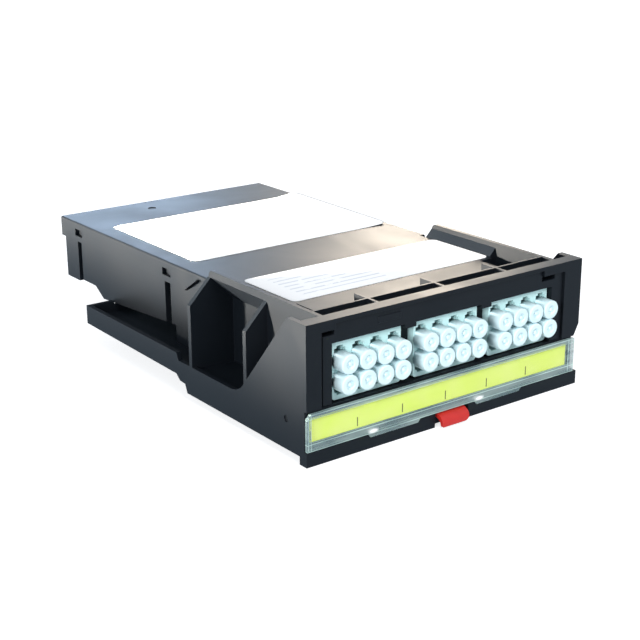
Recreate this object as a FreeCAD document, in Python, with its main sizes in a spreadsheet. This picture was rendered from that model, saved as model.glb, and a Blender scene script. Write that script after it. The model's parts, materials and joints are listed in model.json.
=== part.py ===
import FreeCAD, Part

import math
import os
import re

import Sketcher

# Fibre cassette for a rack panel: a front carrier with side rails, a snapped-in splice box with a
# lid, three adapter blocks with eight ports each, and their dust plugs.
# Frame: X to the right along the front, Y to the rear, Z up. The origin is the middle of the
# bottom edge of the front face. Millimetres throughout.

SIZES = {
    # bezel
    "bezelWidth": 104.4,
    "bezelHeight": 40.7,
    "bezelDepth": 3.3,
    "topBarDepth": 4.5,
    "windowLeft": 47.0,
    "windowRight": 45.0,
    "windowSlack": 1.1,
    "sillHeight": 16.0,
    "shoulderHeight": 37.7,
    "tongueHeight": 39.5,
    "tongueLeft": 42.2,
    "tongueRight": 36.0,
    "topBarLap": 0.9,
    "bandBottom": 4.3,
    "ledgeWall": 1.0,
    "ledgeLap": 1.0,
    "reliefDepth": 2.0,
    "reliefRise": 3.8,
    "slotWidth": 4.0,
    "lipWall": 0.8,
    "slotFloor": 35.0,
    "ribWidth": 0.9,
    "ribLength": 5.2,
    "ribSpacing": 24.3,
    # side rails, floor and fins of the carrier
    "railWall": 1.6,
    "railLength": 125.5,
    "railBottom": 2.4,
    "railStep": 61.3,
    "railRise": 4.6,
    "railTaper": 0.6,
    "railLow": 11.7,
    "railHigh": 14.0,
    "kinkFront": 4.7,
    "kinkRear": 5.7,
    "jogFront": 1.2,
    "jogLow": 2.7,
    "jogShelf": 4.1,
    "jogHigh": 2.9,
    "jogRear": 6.2,
    "dimpleBack": 0.8,
    "dimpleDrop": 0.2,
    "dimpleRadius": 1.0,
    "dimpleDepth": 0.4,
    "wingTop": 8.6,
    "wingFoot": 33.0,
    "wingRadius": 9.0,
    "floorTop": 10.5,
    "floorWall": 2.0,
    "guideWall": 1.2,
    "guideHalf": 37.1,
    "guideBend": 31.0,
    "guideFlare": 7.6,
    "guideLength": 59.0,
    "cheekWall": 1.44,
    "finFirst": 28.5,
    "finSecond": 59.5,
    "finWall": 1.6,
    "finShoulder": 31.1,
    # splice box
    "boxHalf": 42.2,
    "boxWall": 2.0,
    "boxDepth": 160.0,
    "boxFront": 62.0,
    "throatFront": 29.0,
    "boxStep": 83.5,
    "boxFloor": 16.2,
    "boxHem": 12.6,
    "hemLow": 28.0,
    "hemRise": 22.5,
    "hemStep": 13.5,
    "hemEnd": 10.5,
    "hemShelf": 0.2,
    "hemTail": 1.2,
    "plateWall": 1.6,
    "lidTop": 36.6,
    "lidWall": 1.5,
    "lidFront": 15.0,
    "lidNeck": 35.5,
    "lidNeckLength": 12.0,
    "lidFlange": 6.8,
    "flangeWall": 1.3,
    "flangeProud": 0.6,
    "flangeFront": 66.4,
    "flangeSlant": 10.0,
    "snapFront": 87.3,
    "snapBack": 13.0,
    "snapWidth": 5.0,
    "snapHeight": 2.4,
    "snapBelow": 3.7,
    "snapSeat": 0.25,
    "slotAhead": 1.2,
    "slotBehind": 2.2,
    "rearSlotAhead": 0.5,
    "markLeft": 11.4,
    "markBack": 10.0,
    "markRadius": 1.5,
    "markDepth": 0.3,
    "entryEdge": 6.0,
    "entryLap": 1.0,
    "entryInset": 12.2,
    "entryRadius": 3.2,
    "entryHeight": 23.5,
    # adapters and their plate
    "portPitch": 6.25,
    "rowPitch": 5.94,
    "rowCentre": 24.75,
    "portSide": 4.6,
    "portDepth": 10.6,
    "keyWidth": 2.2,
    "keyRise": 1.8,
    "blockWidth": 24.2,
    "blockHeight": 17.2,
    "blockPitch": 28.8,
    "blockShift": -0.9,
    "blockRise": 0.15,
    "blockFront": 2.4,
    "blockLength": 23.0,
    "blockRadius": 1.0,
    "sleeveSeat": 2.6,
    "plateFront": 0.8,
    "plateDepth": 2.2,
    "plateGap": 0.9,
    "plateShoulder": 36.0,
    "plateNotch": 3.6,
    "nubLeft": 15.0,
    "nubRight": 23.0,
    "nubTop": 2.0,
    "nubProud": 0.3,
    "webSetback": 3.8,
    "webWall": 1.6,
    "webTop": 32.3,
    # dust plugs
    "plugRadius": 2.9,
    "plugNose": 2.5,
    "plugStem": 4.4,
    "plugStemLength": 7.5,
    "plugHollow": 2.4,
    "plugWall": 1.0,
    # label cover and its strip
    "coverLeft": 52.3,
    "coverRight": 50.3,
    "coverBottom": 4.6,
    "coverTop": 15.5,
    "coverProud": 0.5,
    "coverWall": 1.1,
    "coverRim": 1.5,
    "coverStep": 0.3,
    "stripWall": 0.25,
    "stripBottom": 7.0,
    "stripHeight": 7.0,
    "gripDrop": 1.1,
    "gripWidth": 19.5,
    "gripLeft": 31.5,
    "gripRight": 8.5,
    "clipWidth": 4.0,
    "clipWall": 1.2,
    "clipLength": 3.4,
    "clipHeight": 13.0,
    "clipSpacing": 60.0,
    # release latch and its spring
    "latchHalf": 5.2,
    "latchTop": 4.1,
    "latchProud": 2.6,
    "latchBottom": 0.6,
    "latchWall": 1.3,
    "latchLength": 40.0,
    "catchRear": 14.0,
    "catchFoot": 2.0,
    "catchNose": 0.8,
    "catchDrop": 1.6,
    "catchInset": 2.4,
    "notchLeft": 6.2,
    "notchRight": 6.7,
    "notchDepth": 2.2,
    "runnerWall": 1.3,
    "runnerFront": 8.0,
    "runnerLength": 30.0,
    "runnerLip": 0.6,
    "runnerReach": 1.4,
    "shoulderFront": 14.0,
    "shoulderWall": 1.3,
    "shoulderHalf": 4.0,
    "shoulderTop": 7.4,
    "springHalf": 3.4,
    "springWall": 0.3,
    "springFolds": 5,
    "springBottom": 4.9,
    # labels on the lid, splice holders and fibre guides
    "labelWall": 0.15,
    "labelRadius": 2.0,
    "frontLabelLeft": 35.5,
    "frontLabelRight": 40.5,
    "frontLabelStart": 28.5,
    "frontLabelEnd": 55.0,
    "rearLabelLeft": 36.0,
    "rearLabelEdge": 0.5,
    "rearLabelLap": 3.0,
    "rearLabelBack": 25.0,
    "holderLength": 30.0,
    "holderWidth": 17.0,
    "holderHeight": 7.0,
    "holderSlot": 2.4,
    "holderPitch": 3.27,
    "holderFloor": 1.5,
    "holderBack": 2.0,
    "guideInset": 21.2,
    "bendRadius": 14.0,
    "bendBack": 30.0,
    "bendHeight": 13.0,
    "bendTab": 4.0,
    # clearances, how far a pad reaches into the one it joins, and how far a cut runs past a face
    "fitGap": 0.1,
    "looseGap": 0.3,
    "weld": 0.2,
    "cutPast": 1.0,
}

doc = FreeCAD.newDocument("fibre_cassette")
sheet = doc.addObject("Spreadsheet::Sheet", "dim")
for row, (alias, number) in enumerate(SIZES.items(), start=1):
    sheet.set(f"A{row}", alias)
    sheet.set(f"B{row}", str(number))
    sheet.setAlias(f"B{row}", alias)
doc.recompute()

nodes = []


def bind(text):
    """The same expression with each size read from the sheet."""
    return re.sub(r"[A-Za-z]\w*", lambda word: "dim." + word[0] if word[0] in SIZES else word[0], str(text))


def size(text):
    """Present value of an expression over the sheet."""
    return float(sheet.evalExpression(bind(text)))


def startBody(name):
    body = doc.addObject("PartDesign::Body", name)
    body.Label = name
    nodes.append(body)
    return body


def rectangle(left, bottom, right, top):
    return [(left, bottom), (right, bottom), (right, top), (left, top)]


def mirrored(points):
    """The outline on the other side of the middle plane."""
    return [(f"-({across})", up) for across, up in points]


def drawOutlines(body, role, start, outlines):
    """Sketch on an origin plane; a closed outline is a list of corners, a circle a 3-tuple."""
    sketch = body.newObject("Sketcher::SketchObject", body.Name + "_sketch")
    plane = next(feature for feature in body.Origin.OriginFeatures if feature.Role == role)
    sketch.AttachmentSupport = [(plane, "")]
    sketch.MapMode = "FlatFace"
    sign = "-" if role == "XZ_Plane" else ""
    sketch.setExpression(".AttachmentOffset.Base.z", bind(f"{sign}({start})"))
    for outline in outlines:
        first = sketch.GeometryCount
        if isinstance(outline, tuple):
            across, up, radius = outline
            centre = FreeCAD.Vector(size(across), size(up), 0)
            sketch.addGeometry(Part.Circle(centre, FreeCAD.Vector(0, 0, 1), size(radius)), False)
            pinPoint(sketch, first, 3, across, up)
            index = sketch.addConstraint(Sketcher.Constraint("Radius", first, size(radius)))
            sketch.setExpression(f"Constraints[{index}]", bind(radius))
            continue
        corners = [FreeCAD.Vector(size(across), size(up), 0) for across, up in outline]
        for here, there in zip(corners, corners[1:] + corners[:1]):
            sketch.addGeometry(Part.LineSegment(here, there), False)
        for step, (across, up) in enumerate(outline):
            following = first + (step + 1) % len(outline)
            sketch.addConstraint(Sketcher.Constraint("Coincident", first + step, 2, following, 1))
            pinPoint(sketch, first + step, 1, across, up)
    return sketch


def pinPoint(sketch, geometry, point, across, up):
    """Hold one sketch point at two sheet expressions."""
    for kind, text in (("DistanceX", across), ("DistanceY", up)):
        index = sketch.addConstraint(Sketcher.Constraint(kind, -1, 1, geometry, point, size(text)))
        sketch.setExpression(f"Constraints[{index}]", bind(text))


def extrude(body, role, start, end, outlines, cut=False):
    """Pad or pocket of the outlines between two distances along the plane's axis."""
    before = body.Shape.Volume if body.Tip else 0.0
    sketch = drawOutlines(body, role, start, outlines)
    kind = "Pocket" if cut else "Pad"
    feature = body.newObject("PartDesign::" + kind, body.Name + "_" + kind.lower())
    feature.Profile = sketch
    feature.setExpression("Length", bind(f"({end})-({start})"))
    feature.Reversed = (role == "XZ_Plane") != cut
    doc.recompute()
    change = body.Shape.Volume - before
    if (change >= 0) if cut else (change <= 0):
        raise ValueError(f"{body.Label}: a {kind.lower()} from {start} to {end} changed nothing")
    return feature


def pocket(body, role, start, end, outlines):
    return extrude(body, role, start, end, outlines, cut=True)


def roundEdges(body, radius, wanted):
    """Fillet of the edges that the test picks by their middle point and direction."""
    base = body.Tip
    names = []
    for index, edge in enumerate(base.Shape.Edges, start=1):
        if edge.Curve.TypeId != "Part::GeomLine":
            continue
        ends = edge.Vertexes[0].Point, edge.Vertexes[-1].Point
        if wanted((ends[0] + ends[1]) * 0.5, ends[1] - ends[0]):
            names.append(f"Edge{index}")
    if not names:
        raise ValueError(f"{body.Label}: no edge found for a fillet of {radius}")
    feature = body.newObject("PartDesign::Fillet", body.Name + "_fillet")
    feature.Base = (base, names)
    feature.setExpression("Radius", bind(radius))
    doc.recompute()
    return feature


def near(number, text):
    return abs(number - size(text)) < 0.02


def place(body, x="0", y="0", z="0"):
    for axis, text in zip("xyz", (x, y, z)):
        body.setExpression("Placement.Base." + axis, bind(text))


# names for places that several pieces share
LID_UNDER = "(lidTop-lidWall)"
FLOOR_UNDER = "(floorTop-floorWall)"
GUIDE_INSIDE = "(guideHalf-guideWall)"
GUIDE_TOP = "(guideHalf+guideFlare)"
FLARE_END = "(guideBend+guideFlare)"
SLOT_REAR = "(topBarDepth+slotWidth)"
CHEEK_INSIDE = "(guideHalf+guideFlare-cheekWall)"
BOX_INSIDE = "(boxHalf-boxWall)"
REBATE = "(boxHalf+flangeProud-flangeWall-looseGap)"
FLANGE_FOOT = "(lidTop-lidFlange)"
BLOCK_BOTTOM = "(rowCentre+blockRise-blockHeight/2)"
SNAP_REAR = "(boxDepth-snapBack)"
COVER_BACK = "(coverWall-coverProud)"
BAND_FACE = "(coverWall-coverProud+stripWall+fitGap)"
PLUG_SIDES = 24


def makeCarrier():
    """One moulding: bezel, side rails, floor, flared guide walls, fins and latch runners."""
    body = startBody("carrier")
    half = "bezelWidth/2"
    extrude(body, "XZ_Plane", "0", "bezelDepth", [[
        (f"-{half}", "0"), (half, "0"), (half, "bandBottom"),
        (f"{half}-reliefDepth", "bandBottom"), (f"{half}-reliefDepth", "sillHeight"),
        (half, "sillHeight+reliefRise"), (half, "bezelHeight"), (f"-{half}", "bezelHeight")]])
    extrude(body, "XZ_Plane", "bezelDepth/2", "topBarDepth",
            [rectangle(f"-{half}", "tongueHeight-topBarLap", half, "bezelHeight")])
    pocket(body, "XZ_Plane", "0", "topBarDepth", [[
        ("-windowLeft", "sillHeight"), ("windowRight", "sillHeight"),
        ("windowRight", "shoulderHeight"), ("tongueRight+fitGap", "shoulderHeight"),
        ("tongueRight+fitGap", "tongueHeight"), ("-tongueLeft-fitGap", "tongueHeight"),
        ("-tongueLeft-fitGap", "shoulderHeight"), ("-windowLeft", "shoulderHeight")]])
    pocket(body, "XZ_Plane", "0", BAND_FACE,
           [rectangle(f"-{half}-cutPast", "bandBottom", f"{half}+cutPast", "sillHeight+fitGap")])
    pocket(body, "XZ_Plane", "0", "notchDepth",
           [rectangle("-notchLeft", "0", "notchRight", "latchTop+looseGap*2")])
    pocket(body, "XZ_Plane", "notchDepth", "bezelDepth",
           [rectangle("-notchLeft", "latchTop-latchWall-looseGap", "notchRight", "latchTop+looseGap*2")])
    clip = "clipWidth/2+fitGap"
    pocket(body, "XZ_Plane", BAND_FACE, "bezelDepth", [
        rectangle(f"{side}*clipSpacing/2-({clip})", "clipHeight-clipWall/2-fitGap",
                  f"{side}*clipSpacing/2+{clip}", "clipHeight+clipWall/2+fitGap") for side in (-1, 1)])

    ledge = ("bezelDepth-weld", "bezelDepth+ledgeWall")
    extrude(body, "XZ_Plane", *ledge, [
        rectangle("-windowLeft-ledgeLap", "bandBottom+ledgeLap", f"-{GUIDE_TOP}+guideWall", "tongueHeight"),
        rectangle(f"{GUIDE_TOP}-guideWall", "bandBottom+ledgeLap", "windowRight+ledgeLap", "tongueHeight")])
    extrude(body, "XZ_Plane", *ledge, [
        rectangle("-windowLeft-ledgeLap", "slotFloor-ledgeLap/2", "-tongueLeft+ledgeLap", "tongueHeight"),
        rectangle("tongueRight-ledgeLap", "slotFloor-ledgeLap/2", "windowRight+ledgeLap", "tongueHeight")])

    rail = [
        ("bezelDepth-weld", "railBottom"), ("railStep", "railBottom"),
        ("railStep+jogFront", "railBottom+jogLow"), ("railStep+jogShelf", "railBottom+jogHigh"),
        ("railStep+jogRear", "railBottom+railRise"), ("railLength", "railBottom+railRise+railTaper"),
        ("railLength", "railHigh"), ("railStep+kinkRear", "railHigh"), ("railStep+kinkFront", "railLow"),
        ("wingFoot", "railLow"), ("wingTop", "bezelHeight"), ("bezelDepth-weld", "bezelHeight")]
    extrude(body, "YZ_Plane", f"-{half}", f"-{half}+railWall", [rail])
    extrude(body, "YZ_Plane", f"{half}-railWall", half, [rail])
    roundEdges(body, "wingRadius", lambda at, along: near(at.y, "wingFoot") and near(at.z, "railLow"))
    roundEdges(body, "railWall/2", lambda at, along: near(at.y, "wingTop") and near(at.z, "bezelHeight"))

    extrude(body, "XY_Plane", FLOOR_UNDER, "floorTop",
            [rectangle(f"-{half}+railWall/2", "bezelDepth-weld", f"{half}-railWall/2", "railLength")])
    crossEnd = "boxHalf+looseGap"
    extrude(body, "XZ_Plane", "railLength-railWall", "railLength", [[
        (f"-{half}", FLOOR_UNDER), (half, FLOOR_UNDER), (half, "railHigh"), (crossEnd, "railHigh"),
        (crossEnd, "boxHem"), (f"-({crossEnd})", "boxHem"), (f"-({crossEnd})", "railHigh"),
        (f"-{half}", "railHigh")]])

    guide = [
        ("guideHalf", "floorTop-weld"), ("guideHalf", "guideBend"), (GUIDE_TOP, FLARE_END),
        (GUIDE_TOP, "bezelHeight"), (CHEEK_INSIDE, "bezelHeight"),
        (CHEEK_INSIDE, f"{FLARE_END}+guideWall/2"),
        (GUIDE_INSIDE, "guideBend+guideWall/2"), (GUIDE_INSIDE, "floorTop-weld")]
    extrude(body, "XZ_Plane", "finFirst", "guideLength", [guide, mirrored(guide)])
    cheek = rectangle(CHEEK_INSIDE, "floorTop-weld", GUIDE_TOP, "bezelHeight")
    extrude(body, "XZ_Plane", "bezelDepth", "finFirst+finWall/2", [cheek, mirrored(cheek)])
    roundEdges(body, "guideWall*1.5",
               lambda at, along: near(at.y, "guideLength") and near(at.z, "bezelHeight"))
    fin = [
        (half, "floorTop-weld"), (half, "finShoulder"), (GUIDE_TOP, FLARE_END),
        ("guideHalf-weld", "guideBend"), ("guideHalf-weld", "floorTop-weld")]
    for start in ("finFirst", "finSecond-finWall"):
        extrude(body, "XZ_Plane", start, f"{start}+finWall", [fin, mirrored(fin)])

    extrude(body, "XY_Plane", "slotFloor-guideWall", "slotFloor",
            [rectangle(f"-{GUIDE_TOP}+guideWall/2", "bezelDepth", f"{GUIDE_TOP}-guideWall/2",
                       f"{SLOT_REAR}+lipWall")])
    extrude(body, "XZ_Plane", SLOT_REAR, f"{SLOT_REAR}+lipWall",
            [rectangle(f"-{GUIDE_TOP}+guideWall/2", f"{FLARE_END}", f"{GUIDE_TOP}-guideWall/2", "bezelHeight"),
             rectangle("-guideHalf", "slotFloor-guideWall", "guideHalf", f"{FLARE_END}")])
    extrude(body, "XZ_Plane", "topBarDepth-weld", f"{SLOT_REAR}+lipWall+ribLength", [
        rectangle(f"{step}*ribSpacing-ribWidth/2", "lidTop+looseGap",
                  f"{step}*ribSpacing+ribWidth/2", "bezelHeight") for step in (-1, 0, 1)])

    runner = [
        ("latchHalf+fitGap", f"{FLOOR_UNDER}+weld"), ("latchHalf+fitGap", "latchTop-latchWall-fitGap"),
        ("latchHalf-runnerReach", "latchTop-latchWall-fitGap"),
        ("latchHalf-runnerReach", "latchTop-latchWall-fitGap-runnerLip"),
        ("latchHalf+fitGap+runnerWall", "latchTop-latchWall-fitGap-runnerLip"),
        ("latchHalf+fitGap+runnerWall", f"{FLOOR_UNDER}+weld")]
    extrude(body, "XZ_Plane", "runnerFront", "runnerFront+runnerLength", [runner, mirrored(runner)])
    pocket(body, "YZ_Plane", f"-{half}", f"-{half}+dimpleDepth",
           [("wingTop+dimpleBack", "railLow-dimpleDrop", "dimpleRadius")])
    return body


def makeBase():
    """The splice box: a narrow throat between the guide walls and a wide rear tray."""
    body = startBody("cassette_base")
    throat = f"{GUIDE_INSIDE}-looseGap"
    extrude(body, "XY_Plane", "floorTop", LID_UNDER, [[
        (f"-({throat})", "throatFront"), (throat, "throatFront"), (throat, "boxFront"),
        ("boxHalf", "boxFront"), ("boxHalf", "boxDepth"), ("-boxHalf", "boxDepth"),
        ("-boxHalf", "boxFront"), (f"-({throat})", "boxFront")]])
    roundEdges(body, "boxWall", lambda at, along: near(at.y, "boxDepth") and abs(along.z) > 1)
    pocket(body, "XY_Plane", "floorTop+plateWall", LID_UNDER, [[
        (f"-({throat})+boxWall", "throatFront+boxWall"), (f"{throat}-boxWall", "throatFront+boxWall"),
        (f"{throat}-boxWall", "boxFront+boxWall"), (BOX_INSIDE, "boxFront+boxWall"),
        (BOX_INSIDE, "boxStep-plateWall"), (f"-{BOX_INSIDE}", "boxStep-plateWall"),
        (f"-{BOX_INSIDE}", "boxFront+boxWall"), (f"-({throat})+boxWall", "boxFront+boxWall")]])
    pocket(body, "XY_Plane", "boxFloor+plateWall", LID_UNDER,
           [rectangle(f"-{BOX_INSIDE}", "boxStep-plateWall-weld", BOX_INSIDE, "boxDepth-boxWall")])
    pocket(body, "XZ_Plane", "throatFront", "throatFront+boxWall",
           [rectangle(f"-({throat})+boxWall", "floorTop+plateWall", f"{throat}-boxWall", LID_UNDER)])
    hem = [
        ("boxStep", "floorTop-cutPast"), ("boxStep", "boxFloor"), ("boxDepth-hemLow", "boxHem"),
        ("boxDepth-hemRise", "boxFloor-hemShelf"), ("boxDepth-hemStep", "boxFloor-hemShelf"),
        ("boxDepth-hemEnd", "boxFloor-hemTail"), ("boxDepth+cutPast", "boxFloor-hemTail"),
        ("boxDepth+cutPast", "floorTop-cutPast")]
    pocket(body, "YZ_Plane", "-boxHalf", "boxHalf", [hem])
    pocket(body, "XY_Plane", "floorTop", "boxFloor",
           [rectangle(f"-{BOX_INSIDE}", "boxStep", BOX_INSIDE, "boxDepth-boxWall")])

    rebate = [
        ("flangeFront-looseGap", f"{LID_UNDER}+cutPast"), ("flangeFront-looseGap", LID_UNDER),
        ("flangeFront+flangeSlant-looseGap", f"{FLANGE_FOOT}-looseGap"),
        ("boxDepth+cutPast", f"{FLANGE_FOOT}-looseGap"), ("boxDepth+cutPast", f"{LID_UNDER}+cutPast")]
    pocket(body, "YZ_Plane", "-boxHalf", f"-{REBATE}", [rebate])
    pocket(body, "YZ_Plane", REBATE, "boxHalf", [rebate])
    pocket(body, "XZ_Plane", "boxDepth-flangeWall-looseGap", "boxDepth",
           [rectangle("-boxHalf", f"{FLANGE_FOOT}-looseGap", "boxHalf", LID_UNDER)])
    snapFace = f"{REBATE}+snapSeat"
    for side in (-1, 1):
        inner, outer = (REBATE, snapFace) if side > 0 else (f"-({snapFace})", f"-{REBATE}")
        extrude(body, "YZ_Plane", inner, outer, [
            rectangle(f"{centre}-snapWidth/2+looseGap", "lidTop-snapBelow-snapHeight/2+looseGap",
                      f"{centre}+snapWidth/2-looseGap", "lidTop-snapBelow+snapHeight/2-looseGap")
            for centre in ("snapFront", SNAP_REAR)])
    slots = [
        rectangle("snapFront-slotAhead", "floorTop", "snapFront+slotBehind", f"{FLANGE_FOOT}-looseGap"),
        rectangle(f"{SNAP_REAR}-rearSlotAhead", "floorTop", f"{SNAP_REAR}+slotBehind",
                  f"{FLANGE_FOOT}-looseGap")]
    pocket(body, "YZ_Plane", "-boxHalf", f"-{BOX_INSIDE}", slots)
    pocket(body, "YZ_Plane", BOX_INSIDE, "boxHalf", slots)

    pocket(body, "XZ_Plane", "boxDepth-boxWall", "boxDepth",
           [rectangle("-boxHalf+entryEdge", "boxFloor+plateWall", "boxHalf-entryEdge", LID_UNDER)])
    return body


def makeLid():
    """Top plate with a tapered front between the flared walls and snap flanges behind."""
    body = startBody("lid")
    flare = f"({GUIDE_INSIDE}-looseGap-fitGap*2+lidTop-guideBend-guideWall/2)"
    extrude(body, "XZ_Plane", "lidFront", "boxFront", [[
        (f"-{flare}+lidWall", LID_UNDER), (f"{flare}-lidWall", LID_UNDER), (flare, "lidTop"),
        (f"-{flare}", "lidTop")]])
    edge = "boxHalf+flangeProud"
    extrude(body, "XZ_Plane", "boxFront-weld", "boxDepth", [rectangle(f"-({edge})", LID_UNDER, edge, "lidTop")])
    pocket(body, "XY_Plane", LID_UNDER, "lidTop", [
        rectangle("lidNeck", "lidFront", "boxHalf", "lidFront+lidNeckLength"),
        rectangle("-boxHalf", "lidFront", "-lidNeck", "lidFront+lidNeckLength")])
    flange = [
        ("flangeFront", "lidTop-weld"), ("flangeFront+flangeSlant", FLANGE_FOOT),
        ("boxDepth", FLANGE_FOOT), ("boxDepth", "lidTop-weld")]
    extrude(body, "YZ_Plane", f"-({edge})", f"-({edge})+flangeWall", [flange])
    extrude(body, "YZ_Plane", f"{edge}-flangeWall", edge, [flange])
    extrude(body, "XZ_Plane", "boxDepth-flangeWall", "boxDepth",
            [rectangle(f"-({edge})", FLANGE_FOOT, edge, "lidTop-weld")])
    windows = [
        rectangle(f"{centre}-snapWidth/2", "lidTop-snapBelow-snapHeight/2",
                  f"{centre}+snapWidth/2", "lidTop-snapBelow+snapHeight/2")
        for centre in ("snapFront", SNAP_REAR)]
    pocket(body, "YZ_Plane", f"-({edge})", f"-({edge})+flangeWall", windows)
    pocket(body, "YZ_Plane", f"{edge}-flangeWall", edge, windows)
    pocket(body, "XY_Plane", "lidTop-markDepth", "lidTop", [("-markLeft", "boxDepth-markBack", "markRadius")])
    roundEdges(body, "flangeWall/2", lambda at, along: near(at.z, "lidTop") and abs(along.y) > size("boxDepth/3"))
    return body


def makeEntryPlate():
    """Stepped plate in the open rear of the box, held from inside, with two round cable entries."""
    body = startBody("entry_plate")
    inside = "boxDepth-boxWall"
    low = "boxFloor+plateWall"
    extrude(body, "XZ_Plane", f"{inside}-fitGap-entryLap", f"{inside}-fitGap", [
        rectangle("-boxHalf+entryEdge-entryLap", low, "boxHalf-entryEdge+entryLap", f"{LID_UNDER}-fitGap")])
    extrude(body, "XZ_Plane", f"{inside}-fitGap-entryLap/2", "boxDepth", [
        rectangle("-boxHalf+entryEdge+fitGap", low, "boxHalf-entryEdge-fitGap", f"{FLANGE_FOOT}-looseGap")])
    pocket(body, "XZ_Plane", f"{inside}-fitGap-entryLap", "boxDepth",
           [(f"{side}*(boxHalf-entryInset)", "entryHeight", "entryRadius") for side in (-1, 1)])
    return body


def makeAdapterPlate():
    """The front plate that holds the three blocks and closes the window above them."""
    body = startBody("adapter_plate")
    rear = "plateFront+plateDepth"
    extrude(body, "XZ_Plane", "plateFront", rear, [[
        ("-windowLeft+plateGap", "sillHeight+fitGap*2"), ("windowRight-fitGap", "sillHeight+fitGap*2"),
        ("windowRight-fitGap", "shoulderHeight-fitGap"), ("windowRight-plateNotch", "shoulderHeight-fitGap"),
        ("windowRight-plateNotch", "plateShoulder"), ("tongueRight", "plateShoulder"),
        ("tongueRight", "tongueHeight-fitGap*2"), ("-tongueLeft", "tongueHeight-fitGap*2"),
        ("-tongueLeft", "plateShoulder"), ("-windowLeft+plateGap", "plateShoulder")]])
    pocket(body, "XZ_Plane", "plateFront", rear, [
        rectangle("blockShift-blockPitch-blockWidth/2-windowSlack", "sillHeight",
                  "blockShift+blockPitch+blockWidth/2+looseGap", f"{BLOCK_BOTTOM}+blockHeight+fitGap")])
    web = "(blockPitch-blockWidth)/2-looseGap"
    webBack = "plateFront+webSetback"
    centres = [f"blockShift+{half}*blockPitch" for half in (-0.5, 0.5)]
    extrude(body, "XZ_Plane", "plateFront", f"{webBack}+webWall", [
        rectangle(f"{centre}-({web})", "webTop", f"{centre}+{web}", f"{BLOCK_BOTTOM}+blockHeight+fitGap")
        for centre in centres])
    extrude(body, "XZ_Plane", webBack, f"{webBack}+webWall", [
        rectangle(f"{centre}-({web})", "sillHeight+fitGap*2", f"{centre}+{web}", "webTop")
        for centre in centres])
    extrude(body, "XZ_Plane", "plateFront-nubProud", "plateFront", [
        rectangle("-tongueLeft+nubLeft", "plateShoulder", "-tongueLeft+nubRight", "plateShoulder+nubTop")])
    return body


def makeAdapter(name, step):
    """One block of eight ports, open at the front and rear, with the sleeve seats between."""
    body = startBody(name)
    extrude(body, "XZ_Plane", "0", "blockLength", [
        rectangle("-blockWidth/2", "-blockHeight/2+blockRise", "blockWidth/2", "blockHeight/2+blockRise")])
    roundEdges(body, "blockRadius", lambda at, along: abs(along.y) > 1)
    ports = []
    keys = []
    seats = []
    for row in (-1, 1):
        up = f"{row}*rowPitch/2"
        for column in (-1.5, -0.5, 0.5, 1.5):
            across = f"{column}*portPitch"
            ports.append(rectangle(f"{across}-portSide/2", f"{up}-portSide/2",
                                   f"{across}+portSide/2", f"{up}+portSide/2"))
            keys.append(rectangle(f"{across}-keyWidth/2", f"{up}+{row}*(portSide/2-weld)",
                                  f"{across}+keyWidth/2", f"{up}+{row}*(portSide/2+keyRise)"))
            seats.append(rectangle(f"{across}-sleeveSeat/2", f"{up}-sleeveSeat/2",
                                   f"{across}+sleeveSeat/2", f"{up}+sleeveSeat/2"))
    for start, end in (("0", "portDepth"), ("blockLength-portDepth", "blockLength")):
        pocket(body, "XZ_Plane", start, end, ports)
        pocket(body, "XZ_Plane", start, end, keys)
    pocket(body, "XZ_Plane", "portDepth", "blockLength-portDepth", seats)
    place(body, f"blockShift+{step}*blockPitch", "blockFront", "rowCentre")
    return body


def makeDustPlug(name, across, up):
    """Cap with a hollow square stem that fills the port; its rim is a regular polygon."""
    body = startBody(name)
    head = "plugNose+blockFront"
    turns = [2 * math.pi * (side + 0.5) / PLUG_SIDES for side in range(PLUG_SIDES)]
    rim = [(f"plugRadius*{math.cos(turn):.6f}", f"plugRadius*{math.sin(turn):.6f}") for turn in turns]
    extrude(body, "XZ_Plane", f"-({head})", "0", [rim])
    extrude(body, "XZ_Plane", "-weld", "plugStemLength",
            [rectangle("-plugStem/2", "-plugStem/2", "plugStem/2", "plugStem/2")])
    pocket(body, "XZ_Plane", "plugWall", "plugStemLength",
           [rectangle("-plugHollow/2", "-plugHollow/2", "plugHollow/2", "plugHollow/2")])
    place(body, across, "blockFront", up)
    return body


def makeLabelCover():
    """Clear cover over the paper strip, with two thumb grips and two push-in clips."""
    body = startBody("label_cover")
    extrude(body, "XZ_Plane", "-coverProud", COVER_BACK, [[
        ("-coverLeft", "coverBottom"), ("coverRight", "coverBottom"), ("coverRight", "coverTop"),
        ("-coverLeft+coverRim*0.9", "coverTop"), ("-coverLeft", "coverTop-coverRim*0.9")]])
    pocket(body, "XZ_Plane", "-coverProud", "-coverProud+coverStep",
           [rectangle("-coverLeft+coverRim", "stripBottom", "coverRight-coverRim*1.8", "stripBottom+stripHeight")])
    grips = []
    for left in ("-gripLeft", "gripRight"):
        grips.append([(f"{left}+gripDrop", "coverBottom-gripDrop"),
                      (f"{left}+gripWidth-gripDrop", "coverBottom-gripDrop"),
                      (f"{left}+gripWidth", "coverBottom+weld"), (left, "coverBottom+weld")])
    extrude(body, "XZ_Plane", "-coverProud", "-fitGap", grips)
    extrude(body, "XZ_Plane", COVER_BACK, f"{COVER_BACK}+clipLength", [
        rectangle(f"{side}*clipSpacing/2-clipWidth/2", "clipHeight-clipWall/2",
                  f"{side}*clipSpacing/2+clipWidth/2", "clipHeight+clipWall/2") for side in (-1, 1)])
    return body


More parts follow.
